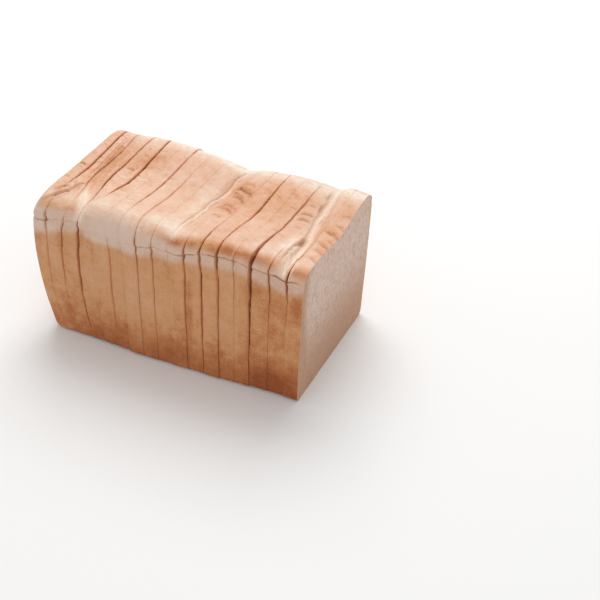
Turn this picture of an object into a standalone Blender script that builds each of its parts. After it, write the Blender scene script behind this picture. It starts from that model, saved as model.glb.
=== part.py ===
"""A sliced tin loaf: seventeen slices that stand close together and keep the loaf's shape.

X runs along the loaf from the heel to the open cut face, Y across it and Z up.
A station is a place along the loaf, counted in slices from the heel's end.
The loaf is worked out whole, as a section at any station, and then cut into its slices.
Side -1 is the near wall, which faces -Y, and side +1 is the far wall.
"""
import math
import random

import bpy
import numpy as np

# The loaf, in metres
SLICE_COUNT = 17
PITCH = 0.0130            # one slice with the cut beside it
CUT = 0.0003              # clear width of a closed cut
WIDTH = 0.1235            # across the walls under the shoulders
FOOT_WIDTH = 0.1230       # across the base
FOOT_SET = 0.0015         # how far the base stands out to the near side
WALL_SWELL = 0.0010       # how far each wall swells at half height
FOOT_RADIUS = 0.0045      # along the bottom edges

# Along the top edges: the near one is rounder and deeper at the heel
SHOULDER_RADIUS = 0.0150  # measured across the loaf
HEEL_SHOULDER_EXTRA = 0.0120
CREASE_DROP = 0.0095      # from the top of a shoulder down to the crease under it
HEEL_DROP_EXTRA = 0.0050
HEEL_SHOULDER_REACH = 2.5  # stations over which both extras die away
RISEN_DROP_EXTRA = 0.0105  # the crease runs lower again where the second piece rose most
RISEN_STATION = 6.0
RISEN_REACH = 3.5
CREASE_DEPTH = 0.0012
CREASE_REACH = 0.0035     # above and below the crease's middle
TOP_SAG = 0.0055          # how far the middle of the top sinks below its shoulders
SAG_START = 4.0           # stations from the heel over which that sag comes in

# The dough was laid in the tin as four pieces, side by side. Each row is the cleft before
# a piece: its station on the near and the far wall, and the height of both shoulders there.
# The first and the last row lie outside the loaf and only end its outer pieces.
CLEFTS = (
    (-3.0, -4.5, 0.1060, 0.1150),
    (3.0, 1.6, 0.1150, 0.1250),
    (9.4, 9.4, 0.1150, 0.1160),
    (16.1, 15.0, 0.1085, 0.1155),
    (22.0, 19.0, 0.1050, 0.1000),
)
# The highest point of each piece at both shoulders, and where it lies between its clefts.
PEAKS = (
    (0.1160, 0.1265, 0.80),
    (0.1195, 0.1275, 0.35),
    (0.1175, 0.1200, 0.40),
    (0.1115, 0.1190, 0.15),
)
HUMP_POWER = 2.2           # the humps are flat on top and fall steeply to the clefts
FURROW_DEPTH = 0.0015      # of the furrow along each cleft
FURROW_REACH = 0.5         # its half width, in stations

# How the cut slices stand
LEAN_HEEL = 0.0030         # run of a cut along X from base to top, at the heel
LEAN_FACE = 0.0055         # the same at the open face
HEEL_FLARE = 0.0040        # how far the heel's own end leans back from that
FOOT_SHIFT = 0.0035        # how far the heel's foot is pushed in under the loaf
FOOT_SHIFT_REACH = 6.0     # stations over which that dies away
HEEL_BOW = 0.0060          # how far the first cuts bow out towards the heel
BOW_END = 4.2              # station where that bow ends
BOW_FADE = 0.5
ROW_BOW = 0.0032           # how far the middle of the row stands out to the near side
SLICE_STRAY = 0.0006       # how far a slice may stand out of the row
STRAY_SEED = 5
CUT_HEIGHT = 0.1150        # height at which leans and openings are measured
# Clear width that a cut opens to at its top; the other cuts are closed.
OPENINGS = {1: 0.0010, 3: 0.0012, 4: 0.0010, 6: 0.0006, 11: 0.0008,
            12: 0.0008, 14: 0.0028, 15: 0.0006, 16: 0.0012}

# The heel's rounded end
HEEL_RADIUS = 0.0090
HEEL_DOME = 0.0015         # how far the middle of the end stands out

# Facets
FOOT_POINTS = 4
WALL_POINTS = 9
CREASE_POINTS = 5
SHOULDER_POINTS = 7
TOP_POINTS = 12            # in half the top
RINGS = 3                  # sections through each slice
HEEL_RINGS = 3             # from the rounded end to the first cut
HEEL_ARC_RINGS = 4
HEEL_DOME_RINGS = (0.35, 0.65)

CRUST_COLOUR = (0.62, 0.36, 0.17, 1.0)
CRUST_ROUGHNESS = 0.8


def clear_scene():
    for old in list(bpy.data.objects):
        bpy.data.objects.remove(old, do_unlink=True)


def between(pair, across):
    """A value that goes evenly from the near wall, across = 0, to the far wall, across = 1."""
    return pair[0] + (pair[1] - pair[0]) * across


def shoulder_height(station, y):
    """Height of the loaf without its sag: each piece is a hump that falls to its clefts."""
    across = y / WIDTH + 0.5
    height = np.zeros_like(across)
    for before, after, peak in zip(CLEFTS[:-1], CLEFTS[1:], PEAKS):
        start = between(before[:2], across)
        end = between(after[:2], across)
        place = (station - start) / (end - start)
        rising = place < peak[2]
        edge = np.where(rising, between(before[2:], across), between(after[2:], across))
        away = np.where(rising, 1.0 - place / peak[2], (place - peak[2]) / (1.0 - peak[2]))
        top = between(peak[:2], across)
        hump = top - (top - edge) * np.abs(away) ** HUMP_POWER
        height = np.where((place >= 0.0) & (place < 1.0), hump, height)
    return height


def furrow(station, y):
    """Depth of the furrows along the clefts: a cosine bell about each cleft's line."""
    across = y / WIDTH + 0.5
    depth = np.zeros_like(across)
    for cleft in CLEFTS[1:-1]:
        off = (station - between(cleft[:2], across)) / FURROW_REACH
        bell = 0.5 + 0.5 * np.cos(math.pi * np.clip(off, -1.0, 1.0))
        depth = np.maximum(depth, FURROW_DEPTH * bell)
    return depth


def swell_about(station, middle, reach):
    """A bell that is 1 at its middle and dies away over its reach."""
    return math.exp(-((station - middle) / reach) ** 2)


def shoulder_radius(station, side):
    if side > 0.0:
        return SHOULDER_RADIUS
    return SHOULDER_RADIUS + HEEL_SHOULDER_EXTRA * swell_about(station, 0.0, HEEL_SHOULDER_REACH)


def crease_drop(station):
    return (CREASE_DROP
            + HEEL_DROP_EXTRA * swell_about(station, 0.0, HEEL_SHOULDER_REACH)
            + RISEN_DROP_EXTRA * swell_about(station, RISEN_STATION, RISEN_REACH))


def top_surface(station, y, inner):
    """Height of the top, which sinks from its shoulders at y = inner in a cosine wave."""
    sag = TOP_SAG * min(1.0, station / SAG_START)
    wave = 0.5 + 0.5 * np.cos(math.pi * y / inner)
    return shoulder_height(station, y) - sag * wave - furrow(station, y)


def half_section(station, side):
    """One side of the section, from its bottom edge up to beside the middle of the top.

    A foot arc, a wall that swells a little, a crease, a shoulder that is a quarter of an
    ellipse, and half of the top.
    """
    half = WIDTH / 2
    foot = FOOT_WIDTH / 2
    radius = shoulder_radius(station, side)
    inner = half - radius
    top = shoulder_height(station, np.array([side * inner]))[0]
    drop = crease_drop(station)
    crease = top - drop

    angle = np.linspace(0.0, math.pi / 2, FOOT_POINTS)
    foot_y = foot - FOOT_RADIUS + FOOT_RADIUS * np.sin(angle)
    foot_z = FOOT_RADIUS - FOOT_RADIUS * np.cos(angle)

    rise = np.linspace(0.0, 1.0, WALL_POINTS + 1)[1:]
    wall_z = FOOT_RADIUS + (crease - CREASE_REACH - FOOT_RADIUS) * rise
    crease_z = np.linspace(crease - CREASE_REACH, crease + CREASE_REACH, CREASE_POINTS)[1:]
    side_z = np.concatenate([wall_z, crease_z])
    share = np.clip((side_z - FOOT_RADIUS) / (crease - FOOT_RADIUS), 0.0, 1.0)
    wall_y = foot + (half - foot) * share + WALL_SWELL * np.sin(math.pi * share)
    above = np.clip((side_z - crease) / drop, 0.0, 1.0)
    arc_y = inner + radius * np.sqrt(1.0 - above ** 2)
    bell = 0.5 + 0.5 * np.cos(math.pi * np.clip((side_z - crease) / CREASE_REACH, -1.0, 1.0))
    side_y = np.where(side_z > crease, arc_y, wall_y) - CREASE_DEPTH * bell

    turn = np.linspace(math.asin(CREASE_REACH / drop), math.pi / 2, SHOULDER_POINTS + 1)[1:]
    shoulder_y = inner + radius * np.cos(turn)
    shoulder_z = crease + drop * np.sin(turn)

    top_y = inner * np.linspace(1.0, 0.0, TOP_POINTS + 1)[1:-1]
    top_z = top_surface(station, side * top_y, inner)

    y = np.concatenate([foot_y, side_y, shoulder_y, top_y])
    z = np.concatenate([foot_z, side_z, shoulder_z, top_z])
    return np.column_stack([side * y, z])


def section(station):
    """The whole outline: up the near side, over the top and down the far side."""
    near = half_section(station, -1.0)
    far = half_section(station, 1.0)
    middle = np.array([[0.0, (near[-1, 1] + far[-1, 1]) / 2]])
    outline = np.concatenate([near, middle, far[::-1]])
    outline[:, 0] -= FOOT_SET * (1.0 - outline[:, 1] / CUT_HEIGHT)
    return outline


def cut_surface(number, z):
    """Where the cut after a slice lies along X: it leans, and near the heel it also bows."""
    height = z / CUT_HEIGHT
    lean = between((LEAN_HEEL, LEAN_FACE), number / SLICE_COUNT)
    if number == 0:
        lean -= HEEL_FLARE
    foot = FOOT_SHIFT * max(0.0, 1.0 - number / FOOT_SHIFT_REACH)
    bow = HEEL_BOW / (1.0 + math.exp((number - BOW_END) / BOW_FADE))
    return (number * PITCH + foot * (1.0 - height) + lean * height
            - bow * 4.0 * height * (1.0 - height))


def cut_width(number, z):
    """Clear width of a cut, which opens towards its top."""
    if number in (0, SLICE_COUNT):
        return np.zeros_like(z)
    share = np.clip(z / CUT_HEIGHT, 0.0, 1.0)
    return CUT + OPENINGS.get(number, 0.0) * share ** 2


def along(index, share, z):
    """X in a slice at some height, from the cut before it at share 0 to the cut after it at 1."""
    low = cut_surface(index - 1, z) + cut_width(index - 1, z) / 2
    high = cut_surface(index, z) - cut_width(index, z) / 2
    return low + (high - low) * share


def placed(outline, x, index, stray):
    """An outline of a slice as X, Y, Z, with the slice's own place in the row."""
    row = ROW_BOW * math.sin(math.pi * (index - 0.5) / SLICE_COUNT) ** 2
    return np.column_stack([x, outline[:, 0] - row + stray, outline[:, 1]])


def cut_middle(ring, index, share):
    """The point in the middle of a slice's end, on the surface of the cut."""
    z = np.array([ring[:, 2].max() / 2])
    return np.column_stack([along(index, share, z), [ring[:, 1].mean()], z])


def slice_rings(index, stray):
    """Sections through one slice, from its heel side to its open side.

    A middle point before the first and after the last closes the body.
    """
    rings = []
    for share in np.linspace(0.0, 1.0, RINGS):
        outline = section(index - 1 + share)
        rings.append(placed(outline, along(index, share, outline[:, 1]), index, stray))
    return [cut_middle(rings[0], index, 0.0)] + rings + [cut_middle(rings[-1], index, 1.0)]


def heel_rings(stray):
    """Sections through the heel: a domed end, an arc that rounds its edge, and the rest."""
    arc = []
    for angle in np.linspace(0.0, math.pi / 2, HEEL_ARC_RINGS + 1):
        back = HEEL_RADIUS * (1.0 - math.cos(angle))
        outline = section(back / PITCH)
        centre = np.array([outline[:, 0].mean(), outline[:, 1].max() / 2])
        drawn_in = HEEL_RADIUS * (1.0 - math.sin(angle))
        outline = centre + (outline - centre) * (1.0 - drawn_in / (WIDTH / 2))
        arc.append(placed(outline, cut_surface(0, outline[:, 1]) + back, 1, stray))
    first = arc[0]
    centre = np.array([0.0, first[:, 1].mean(), first[:, 2].mean()])
    dome = []
    for scale in HEEL_DOME_RINGS:
        ring = centre + (first - centre) * np.array([1.0, scale, scale])
        ring[:, 0] = cut_surface(0, ring[:, 2]) - HEEL_DOME * (1.0 - scale ** 2)
        dome.append(ring)
    tip = centre + np.array([cut_surface(0, centre[2]) - HEEL_DOME, 0.0, 0.0])
    rest = []
    for share in np.linspace(HEEL_RADIUS / PITCH, 1.0, HEEL_RINGS)[1:]:
        outline = section(share)
        rest.append(placed(outline, along(1, share, outline[:, 1]), 1, stray))
    return [tip[None, :]] + dome + arc + rest + [cut_middle(rest[-1], 1, 1.0)]


def closed_solid(rings):
    """Vertices and faces of a body from its first middle point, over its rings, to its last."""
    size = len(rings[1])
    vertices = np.concatenate(rings)
    last = len(vertices) - 1
    faces = []
    for i in range(size):
        j = (i + 1) % size
        faces.append((0, 1 + i, 1 + j))
        faces.append((last, last - size + j, last - size + i))
        for ring in range(len(rings) - 3):
            low = 1 + ring * size
            high = low + size
            faces.append((low + i, high + i, high + j, low + j))
    return vertices, faces


def crust_material(name):
    material = bpy.data.materials.new(name)
    material.use_nodes = True
    shader = material.node_tree.nodes["Principled BSDF"]
    shader.inputs["Base Color"].default_value = CRUST_COLOUR
    shader.inputs["Roughness"].default_value = CRUST_ROUGHNESS
    shader.inputs["Metallic"].default_value = 0.0
    return material


def add_solid(name, vertices, faces):
    mesh = bpy.data.meshes.new(name)
    mesh.from_pydata(vertices.tolist(), [], faces)
    mesh.update()
    solid = bpy.data.objects.new(name, mesh)
    bpy.context.scene.collection.objects.link(solid)
    mesh.materials.append(crust_material(name + "_crust"))


def slice_name(index):
    return "heel_slice" if index == 1 else "slice_{:02d}".format(index)


def build_loaf():
    """Every slice, moved together so that the loaf's base is centred on the origin."""
    stray = random.Random(STRAY_SEED)
    solids = {}
    for index in range(1, SLICE_COUNT + 1):
        shift = stray.uniform(-SLICE_STRAY, SLICE_STRAY)
        rings = heel_rings(shift) if index == 1 else slice_rings(index, shift)
        solids[slice_name(index)] = closed_solid(rings)
    everything = np.concatenate([vertices for vertices, _ in solids.values()])
    middle = (everything.min(axis=0) + everything.max(axis=0)) / 2
    middle[2] = 0.0
    for name, (vertices, faces) in solids.items():
        add_solid(name, vertices - middle, faces)


clear_scene()
build_loaf()
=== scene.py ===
"""The looks of a sliced tin loaf: a browned crust with clefts, tears and wrinkles, and open crumb.

Each slice is one closed mesh. Its crust is a grid that goes around the slice and across its
thickness, and its cut faces are crumb. The grid follows the same sections as the solids, in the
loaf's own frame: X along the loaf from the heel's foot, Y across it, Z up. A station is a place
along the loaf, counted in slices. A course is a place around a section: 0 at the near bottom
edge, 1 at the near crease, 1.5 where the near shoulder meets the top, 2.5 in the middle of the
top, and on in the same way to 5 at the far bottom edge.
"""

import math
import random

import bpy
import numpy as np
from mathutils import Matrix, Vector


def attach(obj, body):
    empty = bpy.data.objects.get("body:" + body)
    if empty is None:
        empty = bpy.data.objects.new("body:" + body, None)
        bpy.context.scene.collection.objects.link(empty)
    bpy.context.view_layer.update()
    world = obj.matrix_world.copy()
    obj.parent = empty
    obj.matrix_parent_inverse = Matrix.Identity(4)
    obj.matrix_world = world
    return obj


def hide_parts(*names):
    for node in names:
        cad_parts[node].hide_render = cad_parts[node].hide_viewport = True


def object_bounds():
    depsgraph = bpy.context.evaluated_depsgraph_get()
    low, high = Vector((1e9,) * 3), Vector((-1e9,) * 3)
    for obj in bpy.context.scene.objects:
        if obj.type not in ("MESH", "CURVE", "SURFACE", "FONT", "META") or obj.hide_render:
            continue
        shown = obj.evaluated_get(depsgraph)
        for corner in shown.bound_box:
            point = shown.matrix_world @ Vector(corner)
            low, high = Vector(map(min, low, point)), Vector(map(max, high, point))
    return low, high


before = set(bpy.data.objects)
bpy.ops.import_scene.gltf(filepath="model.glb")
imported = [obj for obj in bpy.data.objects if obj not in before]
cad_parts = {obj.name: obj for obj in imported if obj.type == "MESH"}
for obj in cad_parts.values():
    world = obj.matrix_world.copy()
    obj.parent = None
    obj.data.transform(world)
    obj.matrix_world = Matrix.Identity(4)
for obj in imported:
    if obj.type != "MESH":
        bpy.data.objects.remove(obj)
cad_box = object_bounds()

MM = 0.001

# The loaf's sections, as the solids have them, in metres
SLICE_COUNT = 17
PITCH = 0.013
CUT = 0.0003
WIDTH = 0.1235
FOOT_WIDTH = 0.123
FOOT_SET = 0.0015
WALL_SWELL = 0.001
FOOT_RADIUS = 0.0045
SHOULDER_RADIUS = 0.015
HEEL_SHOULDER_EXTRA = 0.012
CREASE_DROP = 0.0095
HEEL_DROP_EXTRA = 0.005
HEEL_SHOULDER_REACH = 2.5
RISEN_DROP_EXTRA = 0.0105
RISEN_STATION = 6.0
RISEN_REACH = 3.5
CREASE_DEPTH = 0.0012
CREASE_REACH = 0.0035
TOP_SAG = 0.0055
SAG_START = 4.0
CLEFTS = (
    (-3.0, -4.5, 0.106, 0.115),
    (3.0, 1.6, 0.115, 0.125),
    (9.4, 9.4, 0.115, 0.116),
    (16.1, 15.0, 0.1085, 0.1155),
    (22.0, 19.0, 0.105, 0.1),
)
PEAKS = (
    (0.116, 0.1265, 0.8),
    (0.1195, 0.1275, 0.35),
    (0.1175, 0.12, 0.4),
    (0.1115, 0.119, 0.15),
)
HUMP_POWER = 2.2
FURROW_DEPTH = 0.0015
FURROW_REACH = 0.5
FURROW_FADE = 12 * MM      # from a shoulder inwards
LEAN_HEEL = 0.003
LEAN_FACE = 0.0055
HEEL_FLARE = 0.004
FOOT_SHIFT = 0.0035
FOOT_SHIFT_REACH = 6.0
HEEL_BOW = 0.006
BOW_END = 4.2
BOW_FADE = 0.5
ROW_BOW = 0.0032
SLICE_STRAY = 0.0006
STRAY_SEED = 5
TONE_SEED = 12
TONE_STRAY = 0.018         # how much browner or paler than the rest a slice may be
CUT_HEIGHT = 0.115
HEEL_RADIUS = 0.009
HEEL_DOME = 0.0015

# A row for each cut from the heel on: how wide it stands open at these courses, in hundredths of a mm
CUT_COURSES = (0.0, 0.3, 0.6, 0.85, 1.02, 1.14, 1.35, 1.7, 2.1, 2.5, 3.0, 3.5, 4.2, 5.0)
CUT_OPEN = (
    (6, 15, 25, 30, 80, 22, 9, 45, 115, 130, 125, 100, 19, 9),
    (6, 20, 40, 80, 45, 12, 7, 25, 45, 45, 35, 35, 25, 12),
    (59, 81, 127, 187, 110, 25, 25, 35, 95, 95, 60, 35, 19, 12),
    (5, 5, 6, 28, 5, 5, 5, 5, 130, 155, 120, 80, 25, 12),
    (5, 26, 47, 38, 15, 6, 5, 5, 5, 5, 5, 6, 12, 9),
    (5, 5, 5, 5, 9, 9, 7, 25, 35, 50, 55, 50, 23, 9),
    (6, 17, 28, 36, 50, 37, 10, 25, 40, 30, 5, 5, 15, 10),
    (5, 7, 25, 31, 43, 15, 5, 5, 5, 5, 5, 5, 12, 9),
    (5, 5, 7, 7, 12, 5, 5, 5, 2, 2, 2, 2, 12, 9),
    (4, 22, 43, 43, 90, 43, 7, 5, 2, 2, 2, 6, 19, 9),
    (36, 68, 103, 120, 170, 120, 65, 30, 9, 7, 7, 12, 25, 12),
    (12, 29, 41, 57, 131, 90, 56, 35, 45, 85, 65, 25, 28, 12),
    (5, 5, 5, 19, 37, 12, 5, 5, 5, 5, 5, 6, 15, 9),
    (10, 30, 100, 150, 200, 220, 230, 135, 60, 65, 45, 12, 20, 19),
    (5, 6, 12, 31, 68, 56, 19, 12, 5, 5, 5, 5, 22, 9),
    (5, 5, 9, 31, 140, 153, 110, 31, 25, 12, 5, 5, 10, 12),
)
# A row for each cut: how far it drifts along X, in mm, at the near wall, then on the top near its
# near shoulder, in its middle and towards its far shoulder
CUT_DRIFT = (
    (0.9, -2, -1.8, -4.2), (1.4, 2, -5.6, -6), (3.2, 1, -5.6, -3.4), (2.2, -4, -1.2, -0.6),
    (2.5, -1.4, -2.2, 0.8), (1.6, -2, -2.4, 1.4), (0.8, -1.6, -2.6, 1), (0.5, -1.2, -2.4, 1.6),
    (0.5, -1.2, -2.4, 2), (0.4, -1.2, -2.4, 2.2), (0.9, -1.4, -2.5, 2.6), (1, -1.2, -0.8, 1.8),
    (0.5, -1.4, -1.2, 1.8), (-0.6, -1.6, -1.6, 1.8), (1, -1.6, -1.7, 2), (1.3, -1.7, -1.8, 2.6),
)
DRIFT_HEIGHTS = (88 * MM, 113 * MM)   # the wall's drift gives way to the top's between these
CUT_WANDER = 0.30 * MM     # how far a cut's line wanders as the knife pulls the crust

# Facets of the fine surface
FOOT_POINTS = 12
WALL_POINTS = 186
CREASE_POINTS = 30
SHOULDER_POINTS = 54
TOP_POINTS = 104
HEEL_DENSITY = 0.78
FACE_DENSITY = 0.97        # of the slice with the open face
ROW_STEP = 0.46 * MM       # between rows across a slice
RIM_ROWS = (0.0, 0.12, 0.32, 0.62)   # the first rows from each rim, in mm
RIM_ROUND = 0.30 * MM      # how far the cut edge of the crust is rounded back
SKIN_DEPTH = 0.30          # how far in mm the crust lies inside the solids before its relief
FACE_SUNK = 0.12           # how far in mm the open crumb lies behind its rim
EDGE_RIM = 0.5             # how much of the rim's colour the crumb takes on at the crust
SHOULDER_ARC = 22.0        # length in mm that a shoulder's arc is taken to have
SHOULDER_COURSE = 0.44     # and how much of a course it takes up
# The rings that close a slice inside a cut: scale about its middle, and how much painted shade and warm
# bounced light of the narrow cut they take
HIDDEN_RINGS = ((0.992, 1.0), (0.975, 1.0), (0.94, 0.9), (0.86, 0.6), (0.55, 0.3))


# ---- noise and other helpers

def lattice(ix, iy, iz, seed):
    """A hash of whole-number places, spread evenly over 0 to 1."""
    value = (ix * 73856093) ^ (iy * 19349663) ^ (iz * 83492791) ^ (seed * 2971215073)
    value = value & 0xFFFFFFFF
    value = ((value >> 15) ^ value) * 2246822519 & 0xFFFFFFFF
    value = ((value >> 13) ^ value) * 3266489917 & 0xFFFFFFFF
    return ((value >> 16) ^ value) * (1 / 0xFFFFFFFF)


def noise(x, y, z, seed):
    """Value noise from -1 to 1: hashed corners of a unit grid, joined by a quintic fade."""
    x, y, z = np.broadcast_arrays(x, y, z)
    ix = np.floor(x).astype(np.int64)
    iy = np.floor(y).astype(np.int64)
    iz = np.floor(z).astype(np.int64)
    u, v, w = (t * t * t * (t * (t * 6 - 15) + 10) for t in (x - ix, y - iy, z - iz))
    total = np.zeros(x.shape)
    for dx, wx in ((0, 1 - u), (1, u)):
        for dy, wy in ((0, 1 - v), (1, v)):
            for dz, wz in ((0, 1 - w), (1, w)):
                total += wx * wy * wz * lattice(ix + dx, iy + dy, iz + dz, seed)
    return total * 2 - 1


def cloud(x, y, z, cell, seed, octaves=3):
    """Noise at a cell size and at halves of it, each with half the strength of the last."""
    total = 0.0
    for k in range(octaves):
        size = cell / 2 ** k
        total += noise(x / size, y / size, z / size, seed + k) / 2 ** k
    return total


def held(value):
    """The value, held between 0 and 1."""
    return np.clip(value, 0.0, 1.0)


def step(low, high, value):
    """A smooth step from 0 at low to 1 at high."""
    t = held((value - low) / (high - low))
    return t * t * (3 - 2 * t)


def after(low, high, count):
    """Even steps from low, which is left out, to high."""
    return np.linspace(low, high, count + 1)[1:]


def bell(value, middle, reach):
    """A Gaussian bell, 1 at its middle."""
    return np.exp(-((value - middle) / reach) ** 2)


# ---- the loaf's sections

def between(pair, across):
    return pair[0] + (pair[1] - pair[0]) * across


def shoulder_height(station, y):
    """Height of the loaf without its sag: each piece is a hump that falls to its clefts."""
    across = y / WIDTH + 0.5
    height = 0 * station * across
    for before, after, peak in zip(CLEFTS[:-1], CLEFTS[1:], PEAKS):
        start = between(before[:2], across)
        end = between(after[:2], across)
        place = (station - start) / (end - start)
        rising = place < peak[2]
        edge = np.where(rising, between(before[2:], across), between(after[2:], across))
        away = np.where(rising, 1 - place / peak[2], (place - peak[2]) / (1 - peak[2]))
        top = between(peak[:2], across)
        hump = top - (top - edge) * np.abs(away) ** HUMP_POWER
        height = np.where((place >= 0.0) & (place < 1.0), hump, height)
    return height


def furrow(station, y):
    """Depth of the furrows along the clefts: a cosine bell about each cleft's line."""
    across = y / WIDTH + 0.5
    depth = 0 * station * across
    for cleft in CLEFTS[1:-1]:
        off = (station - between(cleft[:2], across)) / FURROW_REACH
        cosine = 0.5 + 0.5 * np.cos(math.pi * np.clip(off, -1.0, 1.0))
        depth = np.maximum(depth, FURROW_DEPTH * cosine)
    return depth


def shoulder_radius(station, side):
    if side > 0.0:
        return np.full_like(station, SHOULDER_RADIUS)
    return SHOULDER_RADIUS + HEEL_SHOULDER_EXTRA * bell(station, 0, HEEL_SHOULDER_REACH)


def crease_drop(station):
    return (CREASE_DROP
            + HEEL_DROP_EXTRA * bell(station, 0, HEEL_SHOULDER_REACH)
            + RISEN_DROP_EXTRA * bell(station, RISEN_STATION, RISEN_REACH))


def top_surface(station, y, inner):
    """Height of the top, which sinks from its shoulders at y = inner in a cosine wave."""
    sag = TOP_SAG * np.minimum(1.0, station / SAG_START)
    wave = 0.5 + 0.5 * np.cos(math.pi * y / inner)
    fading = step(0, FURROW_FADE, inner - np.abs(y))
    return shoulder_height(station, y) - sag * wave - furrow(station, y) * fading


def counts(density):
    """Points along the foot, wall, crease, shoulder, half the top and half the base."""
    foot, wall, crease, shoulder, top = (
        2 * round(n * density / 2)
        for n in (FOOT_POINTS, WALL_POINTS, CREASE_POINTS, SHOULDER_POINTS, TOP_POINTS))
    return foot, wall, crease, shoulder, top, top + shoulder // 2 - foot // 2 - 1


def half_section(station, side, density):
    """One side of the sections at a column of stations: Y, Z and course, from the base's middle.

    Half the base, a foot arc, a wall that swells a little, a crease, a shoulder that is a
    quarter of an ellipse, and half the top.
    """
    n_foot, n_wall, n_crease, n_shoulder, n_top, n_base = counts(density)
    half = WIDTH / 2
    foot = FOOT_WIDTH / 2
    radius = shoulder_radius(station, side)
    inner = half - radius
    top = shoulder_height(station, side * inner)
    drop = crease_drop(station)
    crease = top - drop
    ones = np.ones_like(station)

    base_y = (foot - FOOT_RADIUS) * np.linspace(0.0, 1.0, n_base + 1)[:-1] * ones
    angle = np.linspace(0.0, math.pi / 2, n_foot)
    foot_y = (foot - FOOT_RADIUS + FOOT_RADIUS * np.sin(angle)) * ones
    foot_z = (FOOT_RADIUS - FOOT_RADIUS * np.cos(angle)) * ones

    rise = after(0, 1, n_wall)
    wall_z = FOOT_RADIUS + (crease - CREASE_REACH - FOOT_RADIUS) * rise
    crease_z = crease + CREASE_REACH * after(-1, 1, n_crease)
    side_z = np.concatenate([wall_z, crease_z], axis=1)
    share = held((side_z - FOOT_RADIUS) / (crease - FOOT_RADIUS))
    wall_y = foot + (half - foot) * share + WALL_SWELL * np.sin(math.pi * share)
    above = held((side_z - crease) / drop)
    arc_y = inner + radius * np.sqrt(1 - above ** 2)
    cosine = 0.5 + 0.5 * np.cos(math.pi * np.clip((side_z - crease) / CREASE_REACH, -1.0, 1.0))
    side_y = np.where(side_z > crease, arc_y, wall_y) - CREASE_DEPTH * cosine

    start = np.arcsin(CREASE_REACH / drop)
    turn = start + (math.pi / 2 - start) * after(0, 1, n_shoulder)
    shoulder_y = inner + radius * np.cos(turn)
    shoulder_z = crease + drop * np.sin(turn)
    top_y = inner * after(1, 0, n_top)
    top_z = top_surface(station, side * top_y, inner)

    y = np.concatenate([base_y, foot_y, side_y, shoulder_y, top_y], axis=1)
    z = np.concatenate([0.0 * base_y, foot_z, side_z, shoulder_z, top_z], axis=1)
    course = np.concatenate([
        np.zeros(n_base), np.linspace(0.0, 0.04, n_foot),
        0.04 + 0.9 * rise, after(0.94, 1.06, n_crease), after(1.06, 1.5, n_shoulder),
        after(1.5, 2.5, n_top)])
    return side * y, z, course


def section(station, density):
    """Closed sections at a column of stations: up the near side, over the top, down the far."""
    near_y, near_z, near_course = half_section(station, -1.0, density)
    far_y, far_z, far_course = half_section(station, 1.0, density)
    near_z[:, -1] = (near_z[:, -1] + far_z[:, -1]) / 2
    y = np.concatenate([near_y, far_y[:, -2:0:-1]], axis=1)
    z = np.concatenate([near_z, far_z[:, -2:0:-1]], axis=1)
    course = np.concatenate([near_course, 5 - far_course[-2:0:-1]])
    return y - FOOT_SET * (1 - z / CUT_HEIGHT), z, course


def even_cut(number, z):
    """Where the solids have the cut after a slice, along X: it leans, and bows near the heel."""
    height = z / CUT_HEIGHT
    lean = between((LEAN_HEEL, LEAN_FACE), number / SLICE_COUNT)
    if number == 0:
        lean -= HEEL_FLARE
    foot = FOOT_SHIFT * max(0.0, 1 - number / FOOT_SHIFT_REACH)
    bow = HEEL_BOW / (1.0 + math.exp((number - BOW_END) / BOW_FADE))
    return (number * PITCH + foot * (1 - height) + lean * height
            - bow * 4 * height * (1 - height))


def cut_surface(number, y, z):
    """Where a cut lies in the baked loaf: it drifts from its even place and wanders finely."""
    x = even_cut(number, z)
    if number in (0, SLICE_COUNT):
        return x
    wall, near, middle, far = CUT_DRIFT[number - 1]
    yy = y / MM
    at_near, at_far = step(-5, -46, yy), step(-5, 48, yy)
    top = near * at_near + far * at_far + middle * (1 - at_near - at_far)
    side = wall * step(0, -30, yy)
    on_top = step(*DRIFT_HEIGHTS, z)
    wander = cloud(number * 0.7, y, z, 11 * MM, 40 + number, 2)
    wander += 0.45 * cloud(number * 0.7, y, z, 2.6 * MM, 170 + number, 2)
    return x + (top * on_top + side * (1 - on_top)) * MM + CUT_WANDER * wander


def cut_gap(number, course, y, z):
    """Half the clear width of a cut around its course, thick and thin by turns."""
    if number in (0, SLICE_COUNT):
        return np.zeros(np.broadcast(course, y).shape)
    uneven = 1.0 + 0.35 * cloud(number * 0.3, y, z, 7 * MM, 190 + number)
    opening = np.interp(course, CUT_COURSES, np.array(CUT_OPEN[number - 1]) / 100.0)
    return opening * uneven * MM / 2


# ---- crust relief and browning

# Station, then how far in millimetres above the crease the torn band's crack, top and foot lie
TORN_BAND = (
    (0, -2.5, 7.4, -13), (0.5, -2.2, 8, -12.5), (1.2, -0.6, 8, -10), (2, 2.6, 9, -7.4),
    (2.8, 5, 9.6, -3.6), (3.4, 6, 9.4, -1), (3.8, 6, 9.8, -5.5), (4.3, 5, 11, -7.6),
    (5.3, 3, 13.6, -5.4), (6.2, 1.5, 14.6, -3.4), (7.1, 1.1, 12.6, -3.8), (8.1, 3.8, 10.4, -3.4),
    (9, 3, 8.2, -3.2), (9.7, 0.2, 6.6, -3.2), (10.1, 1.2, 6, -4), (10.8, 1.4, 5.2, -4.8),
    (11.1, 3.2, 5, -5), (12.1, 2.4, 4.6, -5), (13.1, 2.4, 4.6, -4.6), (13.9, 0.8, 5, -6),
    (14.6, 1.6, 5.6, -8), (15.3, 3.2, 6.4, -6.4), (16.2, 3.6, 6.2, -5.2), (17, 0.8, 5.4, -5.4),
)
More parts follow.
